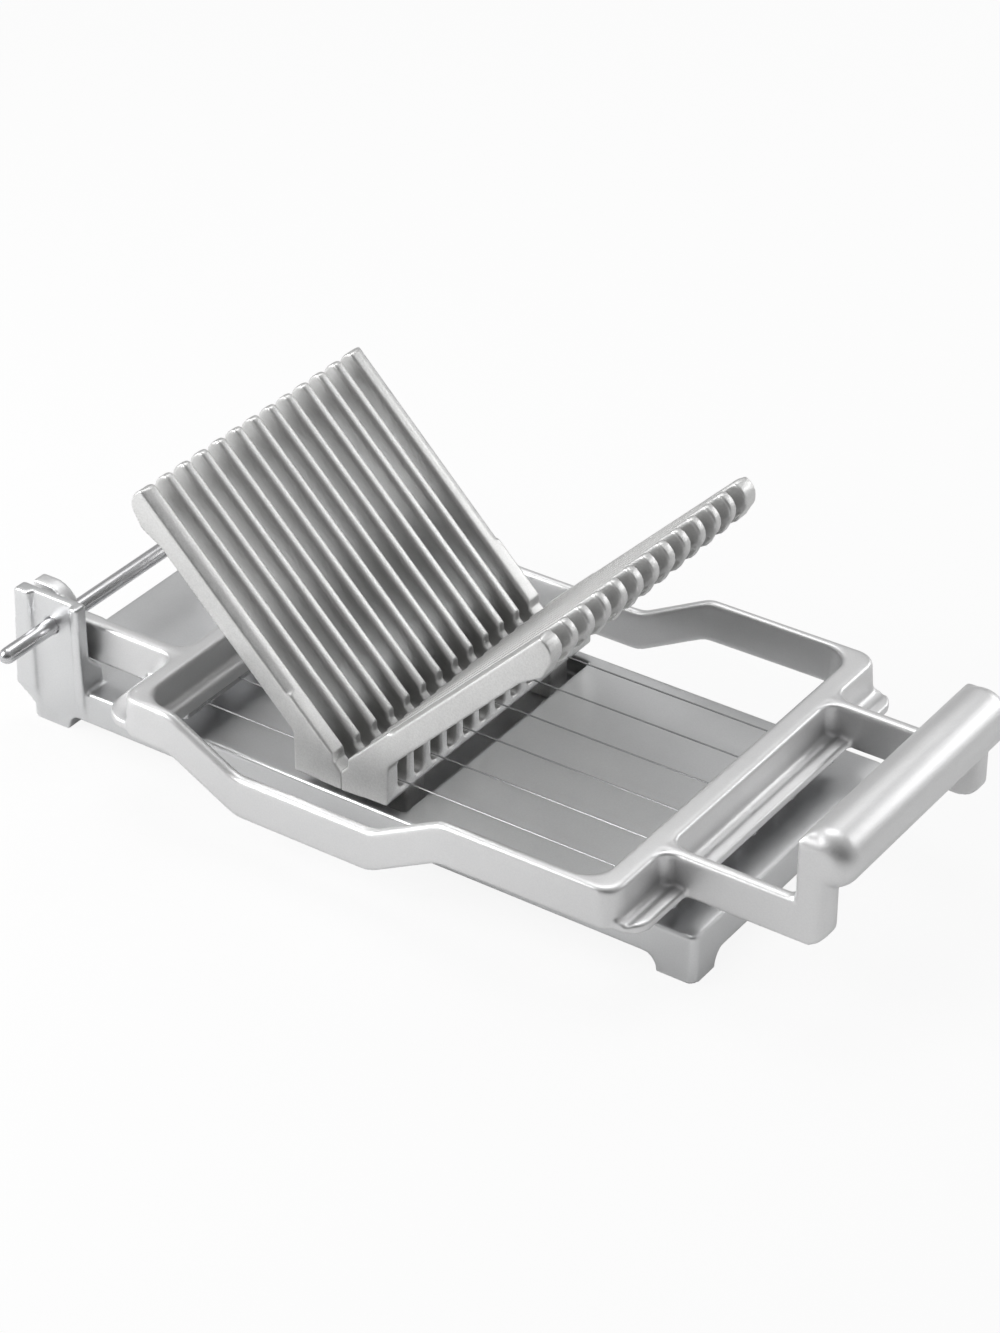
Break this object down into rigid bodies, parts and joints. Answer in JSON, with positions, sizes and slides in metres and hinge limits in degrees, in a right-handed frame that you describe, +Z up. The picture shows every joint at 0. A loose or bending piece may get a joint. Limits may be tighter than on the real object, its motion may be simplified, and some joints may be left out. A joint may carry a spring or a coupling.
{
  "type": "cheese and butter cutter",
  "caption": "Free-standing cheese and butter cutter: a hinged cast frame of taut wires swings down through a V cradle of two slotted combs.",
  "frame": {"origin": "middle of the footprint, on the table", "axes": "+X towards the handle, +Y to the left seen from the hinge, +Z up"},
  "size_m": [0.3362, 0.175, 0.1127],
  "materials": {
    "base_metal": "satin cast, smooth deck",
    "cast_metal": "polished cast",
    "comb_metal": "satin cast",
    "steel": "drawn",
    "wire_steel": "drawn"
  },
  "bodies": {
    "base": {"base_casting": "base_metal", "rear_comb": "comb_metal", "front_comb": "comb_metal", "rear_comb_screws": "steel", "front_comb_screws": "steel", "rear_comb_washers": "steel", "front_comb_washers": "steel"},
    "frame": {"cutting_frame": "cast_metal", "wire_1": "wire_steel", "wire_2": "wire_steel", "wire_3": "wire_steel", "wire_4": "wire_steel", "wire_5": "wire_steel", "wire_6": "wire_steel", "rear_wire_clamp": "steel", "front_wire_clamp": "steel", "rear_clamp_screws": "steel", "front_clamp_screws": "steel"},
    "pin": {"hinge_pin": "steel"}
  },
  "joints": [
    {"name": "frame_hinge", "type": "hinge", "parent": "base", "child": "frame", "pos_m": [-0.15145, 0, 0.042], "axis": [0, -1, 0], "range_deg": [0, 105]},
    {"name": "pin_slide", "type": "slide", "parent": "base", "child": "pin", "axis": [0, -1, 0], "range_m": [0, 0.15]}
  ]
}
